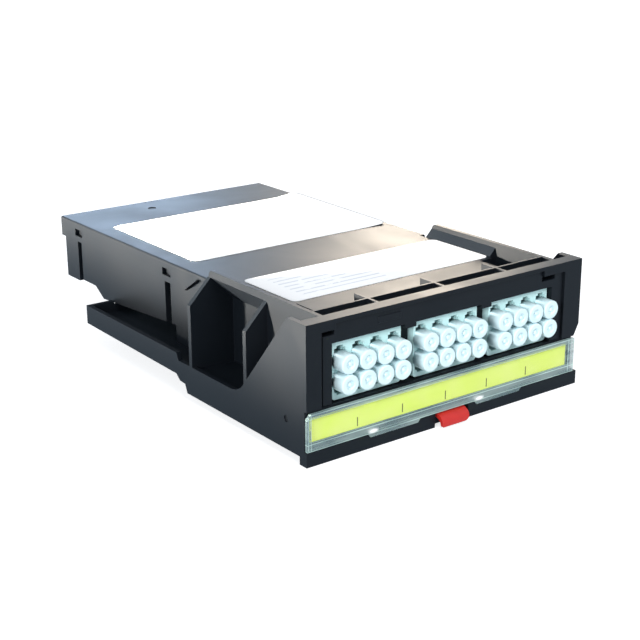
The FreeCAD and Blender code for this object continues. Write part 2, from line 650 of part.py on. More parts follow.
def makeLabelStrip():
    """Paper strip that lies behind the clear cover, notched round the clips."""
    body = startBody("label_strip")
    extrude(body, "XZ_Plane", COVER_BACK, f"{COVER_BACK}+stripWall", [
        rectangle("-coverLeft+coverRim", "stripBottom", "coverRight-coverRim*1.8", "stripBottom+stripHeight")])
    pocket(body, "XZ_Plane", COVER_BACK, f"{COVER_BACK}+stripWall", [
        rectangle(f"{side}*clipSpacing/2-clipWidth/2-fitGap", "clipHeight-clipWall/2-fitGap",
                  f"{side}*clipSpacing/2+clipWidth/2+fitGap", "stripBottom+stripHeight+cutPast")
        for side in (-1, 1)])
    return body


def makeLatch():
    """Pull latch: a flat tongue under the floor whose front end curls down as a finger lip."""
    body = startBody("release_latch")
    extrude(body, "XY_Plane", "latchTop-latchWall", "latchTop",
            [rectangle("-latchHalf", "latchTop-latchBottom-latchProud", "latchHalf", "latchLength")])
    sketch = body.newObject("Sketcher::SketchObject", "latch_lip_sketch")
    plane = next(feature for feature in body.Origin.OriginFeatures if feature.Role == "YZ_Plane")
    sketch.AttachmentSupport = [(plane, "")]
    sketch.MapMode = "FlatFace"
    outer = size("latchTop-latchBottom")
    inner = outer - size("latchWall")
    centreY = outer - size("latchProud")
    centre = FreeCAD.Vector(centreY, size("latchBottom"), 0)
    normal = FreeCAD.Vector(0, 0, 1)
    sketch.addGeometry(Part.ArcOfCircle(Part.Circle(centre, normal, outer), math.pi / 2, math.pi), False)
    sketch.addGeometry(Part.ArcOfCircle(Part.Circle(centre, normal, inner), math.pi / 2, math.pi), False)
    sketch.addGeometry(Part.LineSegment(centre + FreeCAD.Vector(0, outer, 0), centre + FreeCAD.Vector(0, inner, 0)), False)
    sketch.addGeometry(Part.LineSegment(centre - FreeCAD.Vector(outer, 0, 0), centre - FreeCAD.Vector(inner, 0, 0)), False)
    for mine, end, other, start in ((0, 1, 2, 1), (1, 1, 2, 2), (0, 2, 3, 1), (1, 2, 3, 2), (0, 3, 1, 3)):
        sketch.addConstraint(Sketcher.Constraint("Coincident", mine, end, other, start))
    sketch.addConstraint(Sketcher.Constraint("Vertical", 2))
    sketch.addConstraint(Sketcher.Constraint("Horizontal", 3))
    for arc, text in ((0, "latchTop-latchBottom"), (1, "latchTop-latchBottom-latchWall")):
        index = sketch.addConstraint(Sketcher.Constraint("Radius", arc, size(text)))
        sketch.setExpression(f"Constraints[{index}]", bind(text))
    pinPoint(sketch, 0, 3, "latchTop-latchBottom-latchProud", "latchBottom")
    lip = body.newObject("PartDesign::Pad", "latch_lip")
    lip.Profile = sketch
    lip.SideType = "Symmetric"
    lip.setExpression("Length", bind("2*latchHalf"))
    doc.recompute()
    roundEdges(body, "latchHalf*0.4", lambda at, along: near(at.z, "latchBottom") and near(at.x, "latchHalf"))
    extrude(body, "YZ_Plane", "-latchHalf+catchInset", "latchHalf-catchInset", [[
        ("catchRear-catchFoot", "latchTop-latchWall+weld"), ("catchRear", "latchTop-latchWall+weld"),
        ("catchRear", "latchTop-latchWall-catchDrop"),
        ("catchRear-catchNose", "latchTop-latchWall-catchDrop")]])
    extrude(body, "XZ_Plane", "shoulderFront", "shoulderFront+shoulderWall",
            [rectangle("-shoulderHalf", "latchTop-weld", "shoulderHalf", "shoulderTop")])
    return body


def makeSpring():
    """Folded steel strip between the bezel and the latch's shoulder, squeezed by a pull."""
    body = startBody("latch_spring")
    folds = int(SIZES["springFolds"])
    middle = []
    for run in range(folds + 1):
        along = f"bezelDepth+springWall/2+{run}*(shoulderFront-bezelDepth-springWall)/{folds}"
        side = -1 if run % 2 == 0 else 1
        middle += [(side, along), (-side, along)]
    front = []
    rear = []
    for step, (side, along) in enumerate(middle):
        bend = 0 if step in (0, len(middle) - 1) else 1
        forward = 1 if (step // 2) % 2 == 0 else -1
        front.append((f"{side}*springHalf+{bend}*springWall/2", f"{along}-{forward}*springWall/2"))
        rear.append((f"{side}*springHalf-{bend}*springWall/2", f"{along}+{forward}*springWall/2"))
    extrude(body, "XY_Plane", "springBottom", "shoulderTop", [front + rear[::-1]])
    return body


def makeLidLabel(name, left, right, front, rear, rounded):
    """Printed label on the lid."""
    body = startBody(name)
    extrude(body, "XY_Plane", "lidTop", "lidTop+labelWall", [rectangle(left, front, right, rear)])
    if rounded:
        roundEdges(body, "labelRadius", lambda at, along: abs(along.z) > 0.1)
    return body


def makeSpliceHolder(name, side):
    """Comb that grips five splice sleeves side by side."""
    body = startBody(name)
    extrude(body, "XY_Plane", "0", "holderHeight",
            [rectangle("-holderLength/2", "-holderWidth/2", "holderLength/2", "holderWidth/2")])
    pocket(body, "YZ_Plane", "-holderLength/2", "holderLength/2", [
        rectangle(f"{step}*holderPitch-holderSlot/2", "holderFloor",
                  f"{step}*holderPitch+holderSlot/2", "holderHeight+cutPast") for step in (-2, -1, 0, 1, 2)])
    place(body, f"{side}*(boxHalf-guideInset)", "boxStep+holderWidth/2+holderBack", "boxFloor+plateWall")
    return body


def makeFibreGuide(name, side):
    """Half ring that the spare fibre is wound round, with tabs that keep it down."""
    body = startBody(name)
    extrude(body, "XY_Plane", "0", "bendHeight", [("0", "0", "bendRadius")])
    pocket(body, "XY_Plane", "0", "bendHeight", [("0", "0", "bendRadius-plateWall")])
    pocket(body, "XY_Plane", "0", "bendHeight",
           [rectangle("-bendRadius-cutPast", "-bendRadius-cutPast", "bendRadius+cutPast", "0")])
    tab = rectangle("bendRadius-plateWall/2", "0", "bendRadius+bendTab", "bendTab")
    extrude(body, "XY_Plane", "bendHeight-plateWall", "bendHeight", [tab, mirrored(tab)])
    place(body, f"{side}*(boxHalf-guideInset)", "boxDepth-bendBack", "boxFloor+plateWall")
    return body


makeCarrier()
makeBase()
makeLid()
makeEntryPlate()
makeAdapterPlate()
for name, step in (("adapter_left", -1), ("adapter_middle", 0), ("adapter_right", 1)):
    makeAdapter(name, step)
count = 0
for row in (1, -1):
    for step in (-1, 0, 1):
        for column in (-1.5, -0.5, 0.5, 1.5):
            count += 1
            makeDustPlug(f"dust_plug_{count:02d}", f"blockShift+{step}*blockPitch+{column}*portPitch",
                         f"rowCentre+{row}*rowPitch/2")
makeLabelCover()
makeLabelStrip()
makeLatch()
makeSpring()
makeLidLabel("lid_label_front", "-frontLabelLeft", "frontLabelRight", "frontLabelStart", "frontLabelEnd", True)
makeLidLabel("lid_label_rear", "-rearLabelLeft", "boxHalf-rearLabelEdge", "boxStep-rearLabelLap",
             "boxDepth-rearLabelBack", False)
makeSpliceHolder("splice_holder_left", -1)
makeSpliceHolder("splice_holder_right", 1)
makeFibreGuide("fibre_guide_left", -1)
makeFibreGuide("fibre_guide_right", 1)
doc.recompute()

for item in doc.Objects:
    if "Invalid" in item.State or "Error" in item.State:
        raise RuntimeError(f"{item.Label} failed: {item.State}")
os.makedirs("parts", exist_ok=True)
for node in nodes:
    shape = node.Shape
    if shape.isNull() or not shape.isValid():
        raise RuntimeError(f"{node.Label} has no valid shape")
    shape.exportStep(f"parts/{node.Label}.step")
    print(f"{node.Label}: {len(shape.Solids)} solid, {shape.Volume:.1f} mm3")
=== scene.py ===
import json
from math import cos, radians, sin

import bmesh
import bpy
import numpy as np
from mathutils import Matrix, Vector


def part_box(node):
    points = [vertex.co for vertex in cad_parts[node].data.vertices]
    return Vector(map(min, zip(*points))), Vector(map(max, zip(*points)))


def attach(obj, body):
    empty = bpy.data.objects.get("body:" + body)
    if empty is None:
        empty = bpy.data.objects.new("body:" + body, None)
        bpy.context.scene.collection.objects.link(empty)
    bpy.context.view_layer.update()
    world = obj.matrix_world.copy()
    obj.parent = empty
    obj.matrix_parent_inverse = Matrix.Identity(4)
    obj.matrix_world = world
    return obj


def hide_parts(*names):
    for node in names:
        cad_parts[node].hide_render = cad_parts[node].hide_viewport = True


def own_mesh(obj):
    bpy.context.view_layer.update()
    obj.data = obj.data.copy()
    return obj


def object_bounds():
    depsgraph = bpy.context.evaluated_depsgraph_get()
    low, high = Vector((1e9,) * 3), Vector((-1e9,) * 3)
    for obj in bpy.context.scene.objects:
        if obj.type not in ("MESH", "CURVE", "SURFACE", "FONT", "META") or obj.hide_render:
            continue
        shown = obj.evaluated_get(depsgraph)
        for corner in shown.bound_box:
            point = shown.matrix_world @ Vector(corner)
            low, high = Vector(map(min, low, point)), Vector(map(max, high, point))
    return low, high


# lengths are in metres, angles in degrees and lamp powers in watts
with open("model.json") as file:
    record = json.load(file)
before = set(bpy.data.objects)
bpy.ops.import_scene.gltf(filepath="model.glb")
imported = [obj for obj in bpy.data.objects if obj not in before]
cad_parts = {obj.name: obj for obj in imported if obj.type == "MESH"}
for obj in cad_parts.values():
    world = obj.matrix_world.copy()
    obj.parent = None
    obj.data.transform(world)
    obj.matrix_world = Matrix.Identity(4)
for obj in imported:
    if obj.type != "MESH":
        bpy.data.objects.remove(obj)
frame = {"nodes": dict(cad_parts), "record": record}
cadBox = [list(corner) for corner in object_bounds()]
print("frame loaded")

scene = bpy.context.scene
scene.view_settings.view_transform = "Standard"

cameraView = {
    "azimuth": 36.73,
    "elevation": 18.71,
    "roll": -0.28,
    "lens": 75.68,
    "sensor": 36.0,
    "place": (-0.2472, -0.2676, 0.1545),
}


def placeCamera(view):
    # right, up and backward axes worked out from azimuth, elevation and roll
    az, el, roll = (radians(view[key]) for key in ("azimuth", "elevation", "roll"))
    forward = Vector((sin(az) * cos(el), cos(az) * cos(el), -sin(el)))
    right = Vector((cos(az), -sin(az), 0))
    up = right.cross(forward)
    turnedRight = right * cos(roll) + up * sin(roll)
    turnedUp = up * cos(roll) - right * sin(roll)
    camera = bpy.data.objects.new("camera", bpy.data.cameras.new("camera"))
    camera.data.sensor_width = view["sensor"]
    camera.data.lens = view["lens"]
    matrix = Matrix((turnedRight, turnedUp, -forward)).transposed().to_4x4()
    matrix.translation = Vector(view["place"])
    camera.matrix_world = matrix
    scene.collection.objects.link(camera)
    scene.camera = camera


placeCamera(cameraView)
print("camera placed")


def addNode(tree, kind, **settings):
    node = tree.nodes.new(kind)
    for key, setting in settings.items():
        setattr(node, key, setting)
    return node


def fill(tree, socket, value):
    # another node's output is linked to the socket, and a plain value is set on it
    if isinstance(value, bpy.types.NodeSocket):
        tree.links.new(value, socket)
    else:
        socket.default_value = value


def mathNode(tree, operation, *values):
    node = addNode(tree, "ShaderNodeMath", operation=operation)
    for socket, value in zip(node.inputs, values):
        fill(tree, socket, value)
    return node.outputs[0]


def mixColour(tree, factor, first, second):
    node = addNode(tree, "ShaderNodeMix", data_type="RGBA")
    for label, value in (("Factor", factor), ("A", first), ("B", second)):
        fill(tree, node.inputs[label], value)
    return node.outputs["Result"]


def rangeNode(tree, value, source=(0, 1), target=(0, 1)):
    # the value carried from one range to another, and held within it
    node = addNode(tree, "ShaderNodeMapRange")
    labels = ("Value", "From Min", "From Max", "To Min", "To Max")
    for label, setting in zip(labels, (value, *source, *target)):
        fill(tree, node.inputs[label], setting)
    return node.outputs["Result"]


def objectPlace(tree):
    # the point's own place on the piece, as one vector and split into X, Y and Z
    place = addNode(tree, "ShaderNodeTexCoord").outputs["Object"]
    split = addNode(tree, "ShaderNodeSeparateXYZ")
    tree.links.new(place, split.inputs[0])
    return place, split.outputs


def stretchedNoise(tree, place, perMetre, detail):
    # cloudy noise with its own number of clouds per metre along each axis
    stretch = addNode(tree, "ShaderNodeMapping")
    noise = addNode(tree, "ShaderNodeTexNoise")
    fill(tree, stretch.inputs["Vector"], place)
    fill(tree, stretch.inputs["Scale"], perMetre)
    fill(tree, noise.inputs["Vector"], stretch.outputs["Vector"])
    fill(tree, noise.inputs["Scale"], 1.0)
    fill(tree, noise.inputs["Detail"], detail)
    return noise.outputs["Fac"]


def insideMask(tree, *spans):
    # 1 where each coordinate lies between its two limits, and 0 elsewhere
    tests = [mathNode(tree, operation, coordinate, limit) for coordinate, low, high in spans
             for operation, limit in (("GREATER_THAN", low), ("LESS_THAN", high))]
    mask = tests[0]
    for test in tests[1:]:
        mask = mathNode(tree, "MULTIPLY", mask, test)
    return mask


def bandMask(tree, coordinate, centre, half):
    # 1 on the line, falling to 0 at half a width on each side
    away = mathNode(tree, "ABSOLUTE", mathNode(tree, "SUBTRACT", coordinate, centre))
    fall = mathNode(tree, "SUBTRACT", 1.0, mathNode(tree, "DIVIDE", away, half))
    return mathNode(tree, "MAXIMUM", fall, 0.0)


def largest(tree, masks):
    total = masks[0]
    for mask in masks[1:]:
        total = mathNode(tree, "MAXIMUM", total, mask)
    return total


skinShape = {
    "grainDetail": 2.0,
    "flowDetail": 3.0,
    "flowDistortion": 0.8,
    "flowRange": (0.35, 0.65),  # this part of the noise is stretched to fill 0 to 1
    "flowRoughness": 0.06,  # added where the flow is strongest
    "bumpStrength": 0.3,
}


def makeMouldedSkin(shape):
    # fine spark-eroded grain for the bump, and slow flow clouds that shift colour and roughness
    group = bpy.data.node_groups.new("mouldedSkin", "ShaderNodeTree")
    for side, label, kind in (
            ("INPUT", "Colour", "NodeSocketColor"), ("INPUT", "Flow Colour", "NodeSocketColor"),
            ("INPUT", "Roughness", "NodeSocketFloat"), ("INPUT", "Grain Scale", "NodeSocketFloat"),
            ("INPUT", "Flow Scale", "NodeSocketFloat"), ("OUTPUT", "Colour", "NodeSocketColor"),
            ("OUTPUT", "Roughness", "NodeSocketFloat"), ("OUTPUT", "Height", "NodeSocketFloat")):
        group.interface.new_socket(name=label, in_out=side, socket_type=kind)
    given = addNode(group, "NodeGroupInput").outputs
    made = addNode(group, "NodeGroupOutput").inputs
    place = addNode(group, "ShaderNodeTexCoord").outputs["Object"]
    grain = addNode(group, "ShaderNodeTexNoise")
    flow = addNode(group, "ShaderNodeTexNoise")
    for noise, scale, detail in ((grain, "Grain Scale", "grainDetail"), (flow, "Flow Scale", "flowDetail")):
        fill(group, noise.inputs["Vector"], place)
        fill(group, noise.inputs["Scale"], given[scale])
        fill(group, noise.inputs["Detail"], shape[detail])
    fill(group, flow.inputs["Distortion"], shape["flowDistortion"])
    clouds = rangeNode(group, flow.outputs["Fac"], shape["flowRange"])
    change = mathNode(group, "MULTIPLY", clouds, shape["flowRoughness"])
    fill(group, made["Colour"], mixColour(group, clouds, given["Colour"], given["Flow Colour"]))
    fill(group, made["Roughness"], mathNode(group, "ADD", given["Roughness"], change))
    fill(group, made["Height"], grain.outputs["Fac"])
    return group


mouldedSkin = makeMouldedSkin(skinShape)


def startMaterial(name, shaderValues):
    # a material with its output, a Principled shader and the values set on the shader's own sockets
    material = bpy.data.materials.new(name)
    material.use_nodes = True
    tree = material.node_tree
    tree.nodes.clear()
    output = addNode(tree, "ShaderNodeOutputMaterial")
    shader = addNode(tree, "ShaderNodeBsdfPrincipled")
    tree.links.new(shader.outputs["BSDF"], output.inputs["Surface"])
    for socket, value in shaderValues.items():
        shader.inputs[socket].default_value = value
    return material, tree, shader


def startSkin(name, look):
    # a material with the shared moulded skin wired to its colour, roughness and bump
    material, tree, shader = startMaterial(name, {"Specular IOR Level": look["gloss"]})
    skin = addNode(tree, "ShaderNodeGroup", node_tree=mouldedSkin)
    for label, value in (("Colour", look["colour"] + (1,)), ("Flow Colour", look["flowColour"] + (1,)),
                         ("Roughness", look["roughness"]), ("Grain Scale", look["grainScale"]),
                         ("Flow Scale", look["flowScale"])):
        fill(tree, skin.inputs[label], value)
    bump = addNode(tree, "ShaderNodeBump")
    fill(tree, bump.inputs["Strength"], skinShape["bumpStrength"])
    fill(tree, bump.inputs["Distance"], look["depth"])
    fill(tree, bump.inputs["Height"], skin.outputs["Height"])
    fill(tree, shader.inputs["Base Color"], skin.outputs["Colour"])
    fill(tree, shader.inputs["Roughness"], skin.outputs["Roughness"])
    fill(tree, shader.inputs["Normal"], bump.outputs["Normal"])
    return material, tree, shader, skin


# grainScale and flowScale count clouds per metre, and depth is the height of the grain
mouldings = {
    "blackSatin": {"colour": (0.006, 0.008, 0.011), "flowColour": (0.008, 0.010, 0.013), "roughness": 0.36,
                   "grainScale": 2600.0, "flowScale": 35.0, "depth": 0.00002, "gloss": 0.15},
    "portAqua": {"colour": (0.60, 0.83, 0.83), "flowColour": (0.56, 0.81, 0.80), "roughness": 0.40,
                 "grainScale": 2200.0, "flowScale": 120.0, "depth": 0.00001, "gloss": 0.5},
    "plugWhite": {"colour": (0.75, 0.92, 0.96), "flowColour": (0.72, 0.90, 0.94), "roughness": 0.36,
                  "grainScale": 1800.0, "flowScale": 200.0, "depth": 0.00001, "gloss": 0.5},
    "latchRed": {"colour": (0.56, 0.022, 0.016), "flowColour": (0.50, 0.018, 0.014), "roughness": 0.34,
                 "grainScale": 2400.0, "flowScale": 150.0, "depth": 0.00002, "gloss": 0.5},
    "holderGrey": {"colour": (0.33, 0.34, 0.36), "flowColour": (0.38, 0.39, 0.41), "roughness": 0.50,
                   "grainScale": 2000.0, "flowScale": 90.0, "depth": 0.00002, "gloss": 0.5},
}
finishes = {name: startSkin(name, look)[0] for name, look in mouldings.items()}

stripLook = {
    "colour": (0.80, 0.96, 0.16),
    "flowColour": (0.84, 0.96, 0.24),
    "roughness": 0.6,
    "grainScale": 3000.0,
    "flowScale": 70.0,
    "depth": 0.000006,
    "gloss": 0.3,
    "ink": (0.10, 0.12, 0.03),
    "firstTick": -0.0343,
    "lastTick": 0.032,  # no tick stands to the right of this
    "tickPitch": 0.0162,
    "tickWidth": 0.00035,
    "tickBottom": 0.0076,
    "tickTop": 0.0103,
}


def makeStripPaper(look):
    # coloured paper with a row of short upright ticks, one each pitch as far as lastTick
    material, tree, shader, skin = startSkin("stripPaper", look)
    axes = objectPlace(tree)[1]
    along = mathNode(tree, "SUBTRACT", axes["X"], look["firstTick"])
    away = mathNode(tree, "PINGPONG", along, look["tickPitch"] / 2)
    ticks = mathNode(tree, "LESS_THAN", away, look["tickWidth"] / 2)
    inRow = insideMask(tree, (axes["Z"], look["tickBottom"], look["tickTop"]))
    before = mathNode(tree, "LESS_THAN", axes["X"], look["lastTick"])
    mask = mathNode(tree, "MULTIPLY", ticks, mathNode(tree, "MULTIPLY", inRow, before))
    fill(tree, shader.inputs["Base Color"], mixColour(tree, mask, skin.outputs["Colour"], look["ink"] + (1,)))
    return material


finishes["stripPaper"] = makeStripPaper(stripLook)

labelLook = {
    "colour": (0.96, 0.97, 0.99),
    "flowColour": (0.97, 0.98, 0.99),
    "roughness": 0.5,
    "grainScale": 2500.0,
    "flowScale": 30.0,
    "depth": 0.000004,
    "gloss": 0.0,
    "ink": (0.74, 0.77, 0.83),
    "rowsPerMetre": 340.0,
    "rowShare": 0.3,  # how much of each row's pitch is printed
    "wordsPerMetre": 200.0,
    "wordLevel": 0.42,  # noise below this leaves a gap in the row
    "wordDetail": 2.0,
    "printLeft": -0.0295,
    "printRight": 0.002,
    "printFront": 0.0325,
    "printRear": 0.0505,
}


def makePrintedPaper(look):
    # label paper with faint grey rows, broken by noise so that nothing can be read
    material, tree, shader, skin = startSkin("labelPrinted", look)
    place, axes = objectPlace(tree)
    rows = mathNode(tree, "FRACT", mathNode(tree, "MULTIPLY", axes["Y"], look["rowsPerMetre"]))
    inRow = mathNode(tree, "LESS_THAN", rows, look["rowShare"])
    clouds = stretchedNoise(tree, place, (look["wordsPerMetre"], look["rowsPerMetre"], 1), look["wordDetail"])
    inWord = mathNode(tree, "GREATER_THAN", clouds, look["wordLevel"])
    inField = insideMask(tree, (axes["X"], look["printLeft"], look["printRight"]),
                         (axes["Y"], look["printFront"], look["printRear"]))
    mask = mathNode(tree, "MULTIPLY", mathNode(tree, "MULTIPLY", inRow, inWord), inField)
    fill(tree, shader.inputs["Base Color"], mixColour(tree, mask, skin.outputs["Colour"], look["ink"] + (1,)))
    return material


finishes["labelPrinted"] = makePrintedPaper(labelLook)
finishes["labelPlain"] = startSkin("labelPlain", labelLook)[0]

coverLook = {
    "colour": (0.17, 0.25, 0.27),
    "cloudColour": (0.40, 0.50, 0.49),
    "cloudsPerMetre": (55.0, 200.0, 420.0),
    "cloudDetail": 3.0,
    "cloudRange": (0.38, 0.62),
    "roughness": (0.06, 0.16),
    "gloss": 0.5,
    "rimAlpha": 0.50,  # round the strip
    "windowAlpha": 0.04,  # over the strip
    # colour of the painted highlight lines along the cover's edges
    "edgeHighlightColour": (0.58, 0.78, 0.72),
    "edgeAlpha": 0.95,
    "edgeHalf": 0.00022,
    "edgeFaintest": 0.45,  # share of an edge's light that is left where the clouds are thin
    "heights": (0.0048, 0.0068, 0.0153, 0.0141),  # painted highlight lines along edges that lie across the cover
    "sides": (-0.0519, -0.0510, 0.0478, 0.0499),  # painted highlight lines along edges that stand upright
    "glints": ((-0.0295, 0.0053), (0.0105, 0.0053)),  # painted highlight on each thumb grip, across and up
    "glintReach": (0.0021, 0.0008),  # half a glint's width and half its height
    "glintGain": 2.5,
}


def makeClearCover(look):
    # thin clear moulding: see-through over the strip, greyer round it, with painted highlights on its edges
    # and grips
    material, tree, shader = startMaterial("clearCover", {"Specular IOR Level": look["gloss"]})
    low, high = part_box("label_strip")
    place, axes = objectPlace(tree)
    window = insideMask(tree, (axes["X"], low[0], high[0]), (axes["Z"], low[2], high[2]))
    outside = mathNode(tree, "SUBTRACT", 1.0, window)
    clouds = rangeNode(tree, stretchedNoise(tree, place, look["cloudsPerMetre"], look["cloudDetail"]),
                       look["cloudRange"])
    # painted highlight lines along the cover's edges, fainter where the clouds are thin
    lines = [bandMask(tree, axes["Z"], height, look["edgeHalf"]) for height in look["heights"]]
    lines += [bandMask(tree, axes["X"], across, look["edgeHalf"]) for across in look["sides"]]
    edge = mathNode(tree, "MULTIPLY", mathNode(tree, "MULTIPLY", largest(tree, lines), outside),
                    rangeNode(tree, clouds, target=(look["edgeFaintest"], 1)))
    # painted highlights on the thumb grips, mixed to white in the colour
    reachAcross, reachUp = look["glintReach"]
    glints = [mathNode(tree, "MULTIPLY", bandMask(tree, axes["X"], across, reachAcross),
                       bandMask(tree, axes["Z"], height, reachUp)) for across, height in look["glints"]]
    raised = mathNode(tree, "MULTIPLY", largest(tree, glints), look["glintGain"])
    glint = mathNode(tree, "MINIMUM", raised, 1.0)
    body = mixColour(tree, clouds, look["colour"] + (1,), look["cloudColour"] + (1,))
    withEdgeHighlights = mixColour(tree, edge, body, look["edgeHighlightColour"] + (1,))
    fill(tree, shader.inputs["Base Color"], mixColour(tree, glint, withEdgeHighlights, (1, 1, 1, 1)))
    clear = rangeNode(tree, window, target=(look["rimAlpha"], look["windowAlpha"]))
    lit = mathNode(tree, "MAXIMUM", edge, glint)
    fill(tree, shader.inputs["Alpha"], rangeNode(tree, lit, target=(clear, look["edgeAlpha"])))
    fill(tree, shader.inputs["Roughness"], rangeNode(tree, clouds, target=look["roughness"]))
    return material


finishes["clearCover"] = makeClearCover(coverLook)

steelLook = {
    "dark": (0.42, 0.42, 0.43),
    "light": (0.62, 0.62, 0.62),
    "linesPerMetre": (60.0, 60.0, 5000.0),
    "lineDetail": 2.0,
    "roughness": (0.25, 0.4),
    "depth": 0.000005,
}


def makeSpringSteel(look):
    # rolled strip: fine lines along its length in the colour, roughness and bump
    material, tree, shader = startMaterial("springSteel", {"Metallic": 1.0})
    place = addNode(tree, "ShaderNodeTexCoord").outputs["Object"]
    lines = stretchedNoise(tree, place, look["linesPerMetre"], look["lineDetail"])
    bump = addNode(tree, "ShaderNodeBump")
    fill(tree, bump.inputs["Distance"], look["depth"])
    fill(tree, bump.inputs["Height"], lines)
    fill(tree, shader.inputs["Base Color"], mixColour(tree, lines, look["dark"] + (1,), look["light"] + (1,)))
    fill(tree, shader.inputs["Roughness"], rangeNode(tree, lines, target=look["roughness"]))
    fill(tree, shader.inputs["Normal"], bump.outputs["Normal"])
    return material


finishes["springSteel"] = makeSpringSteel(steelLook)

slotFinish = {
    "black_satin": "blackSatin", "port_aqua": "portAqua", "plug_white": "plugWhite",
    "clear_plastic": "clearCover", "strip_yellow": "stripPaper", "latch_red": "latchRed",
    "spring_steel": "springSteel", "label_white": "labelPrinted", "holder_grey": "holderGrey",
}
for part in frame["record"]["subparts"]:
    for materialSlot in frame["nodes"][part["node"]].material_slots:
        materialSlot.material = finishes[slotFinish[part["material_slot"]]]
print("materials placed")


def finishPiece(mesh, name, material, body, slot, *nodes):
    # put the mesh into the scene, on its body, in place of its CAD nodes
    piece = bpy.data.objects.new(name, mesh)
    scene.collection.objects.link(piece)
    mesh.materials.clear()
    mesh.materials.append(material)
    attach(piece, body)
    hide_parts(*nodes)
    return piece


def gridFaces(rows, columns, closed):
    # quads between neighbouring rows; a closed grid joins its last column to its first
    across = columns if closed else columns - 1
    row, column = np.meshgrid(np.arange(rows - 1), np.arange(across), indexing="ij")
    following = (column + 1) % columns
    corners = (row * columns + column, row * columns + following,
               (row + 1) * columns + following, (row + 1) * columns + column)
    return np.stack(corners, axis=-1).reshape(-1, 4)


def boxMesh(name, corners):
    # one mesh of separate boxes, each given by its low and its high corner
    points, faces = [], []
    for low, high in corners:
        first = len(points)
        points += [(x, y, z) for x in (low[0], high[0]) for y in (low[1], high[1]) for z in (low[2], high[2])]
        faces += [[first + corner for corner in face] for face in
                  ((0, 1, 3, 2), (4, 6, 7, 5), (0, 4, 5, 1), (2, 3, 7, 6), (0, 2, 6, 4), (1, 5, 7, 3))]
    mesh = bpy.data.meshes.new(name)
    mesh.from_pydata(points, [], faces)
    return mesh


def openShell(mesh):
    shell = bmesh.new()
    shell.from_mesh(mesh)
    return shell


def closeShell(shell, mesh):
    shell.to_mesh(mesh)
    shell.free()


plugNames = sorted(name for name in frame["nodes"] if name.startswith("dust_plug"))
keyShape = {
    "footHalf": 0.0019,
    "footStart": 0.0022,  # up from the middle of the port
    "footEnd": 0.0034,
    "footDepth": 0.0012,
    "overshoot": 0.001,  # how far the cutter stands out in front of the block
}


def cutKeyFeet(mesh, node, shape):
    # widen the foot of each port's key notch into a step, footDepth deep; a port is as far across and up
    # as the plug that it holds, and its key points away from the middle of the block
    low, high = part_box(node)
    corners = []
    for name in plugNames:
        plugLow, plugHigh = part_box(name)
        across, up = (plugLow[0] + plugHigh[0]) / 2, (plugLow[2] + plugHigh[2]) / 2
        if low[0] < across < high[0]:
            side = 1 if up > (low[2] + high[2]) / 2 else -1
            heights = sorted((up + side * shape["footStart"], up + side * shape["footEnd"]))
            corners.append(((across - shape["footHalf"], low[1] - shape["overshoot"], heights[0]),
                            (across + shape["footHalf"], low[1] + shape["footDepth"], heights[1])))
    block = bpy.data.objects.new("keyBlock", mesh)
    knife = bpy.data.objects.new("keyKnife", boxMesh("keyKnife", corners))
    for helper in (block, knife):
        scene.collection.objects.link(helper)
    cut = block.modifiers.new("keyCut", "BOOLEAN")
    cut.operation = "DIFFERENCE"
    cut.solver = "EXACT"
    cut.object = knife
    result = bpy.data.meshes.new_from_object(block.evaluated_get(bpy.context.evaluated_depsgraph_get()))
    for helper in (block, knife):
        bpy.data.objects.remove(helper)
    return result


edgeBreak = {
    "mergeDistance": 1e-6,
    "segments": 2,
    "sharpAngle": 30.0,  # edges that bend more than this are broken
    "flatAngle": 1.0,  # faces that bend less than this are joined into one
    "faceWeight": 100,
    "mouldings": {  # body, material slot and width of the broken edge
        "carrier": ("housing", "black_satin", 0.00022),
        "cassette_base": ("housing", "black_satin", 0.00022),
        "entry_plate": ("housing", "black_satin", 0.00015),
        "lid": ("lid_body", "black_satin", 0.00025),
        "adapter_plate": ("housing", "black_satin", 0.00015),
        "adapter_left": ("housing", "port_aqua", 0.00015),
        "adapter_middle": ("housing", "port_aqua", 0.00015),
        "adapter_right": ("housing", "port_aqua", 0.00015),
        "label_cover": ("cover_body", "clear_plastic", 0.00018),
        "release_latch": ("latch_body", "latch_red", 0.0003),
    },
}


def breakEdges(node, body, slot, width, shape):
    # the moulding again with its sharp edges broken, so that they catch the light
    mesh = frame["nodes"][node].data.copy()
    shell = openShell(mesh)
    bmesh.ops.remove_doubles(shell, verts=shell.verts, dist=shape["mergeDistance"])
    closeShell(shell, mesh)
    if slot == "port_aqua":
        mesh = cutKeyFeet(mesh, node, keyShape)
    shell = openShell(mesh)
    bmesh.ops.dissolve_limit(shell, angle_limit=radians(shape["flatAngle"]),
                             verts=shell.verts, edges=shell.edges)
    closeShell(shell, mesh)
    mesh.shade_smooth()
    piece = finishPiece(mesh, node + "_finished", finishes[slotFinish[slot]], body, slot, node)
    bevel = piece.modifiers.new("edgeBreak", "BEVEL")
    bevel.width = width
    bevel.segments = shape["segments"]
    bevel.limit_method = "ANGLE"
    bevel.angle_limit = radians(shape["sharpAngle"])
    bevel.use_clamp_overlap = True
    even = piece.modifiers.new("evenNormals", "WEIGHTED_NORMAL")
    even.weight = shape["faceWeight"]


for node, (body, slot, width) in edgeBreak["mouldings"].items():
    breakEdges(node, body, slot, width, edgeBreak)
print("mouldings finished")

plugShape = {
    "axisReach": 1e-6,  # radius of both poles, which the merge closes
    "middleReach": 0.0003,  # radius of the first ring round the pole
    "middlePoints": 14,
    "grooveInside": 0.00045,
    "grooveOutside": 0.00135,
    "grooveSlope": 0.00028,  # width of each wall of the ring groove
    "grooveDepth": 0.0006,
    "outerReach": 0.0016,  # where the flat outside the groove begins
    "outerPoints": 3,
    "rimRound": 0.0004,
    "rimPoints": 6,
    "stemHalf": 0.0022,
    "columns": 56,
    "mergeDistance": 3e-6,
}


def smoothStep(t):
    # from 0 to 1 with level ends: three times the square less twice the cube
    t = np.clip(t, 0, 1)
    return t * t * (3 - 2 * t)


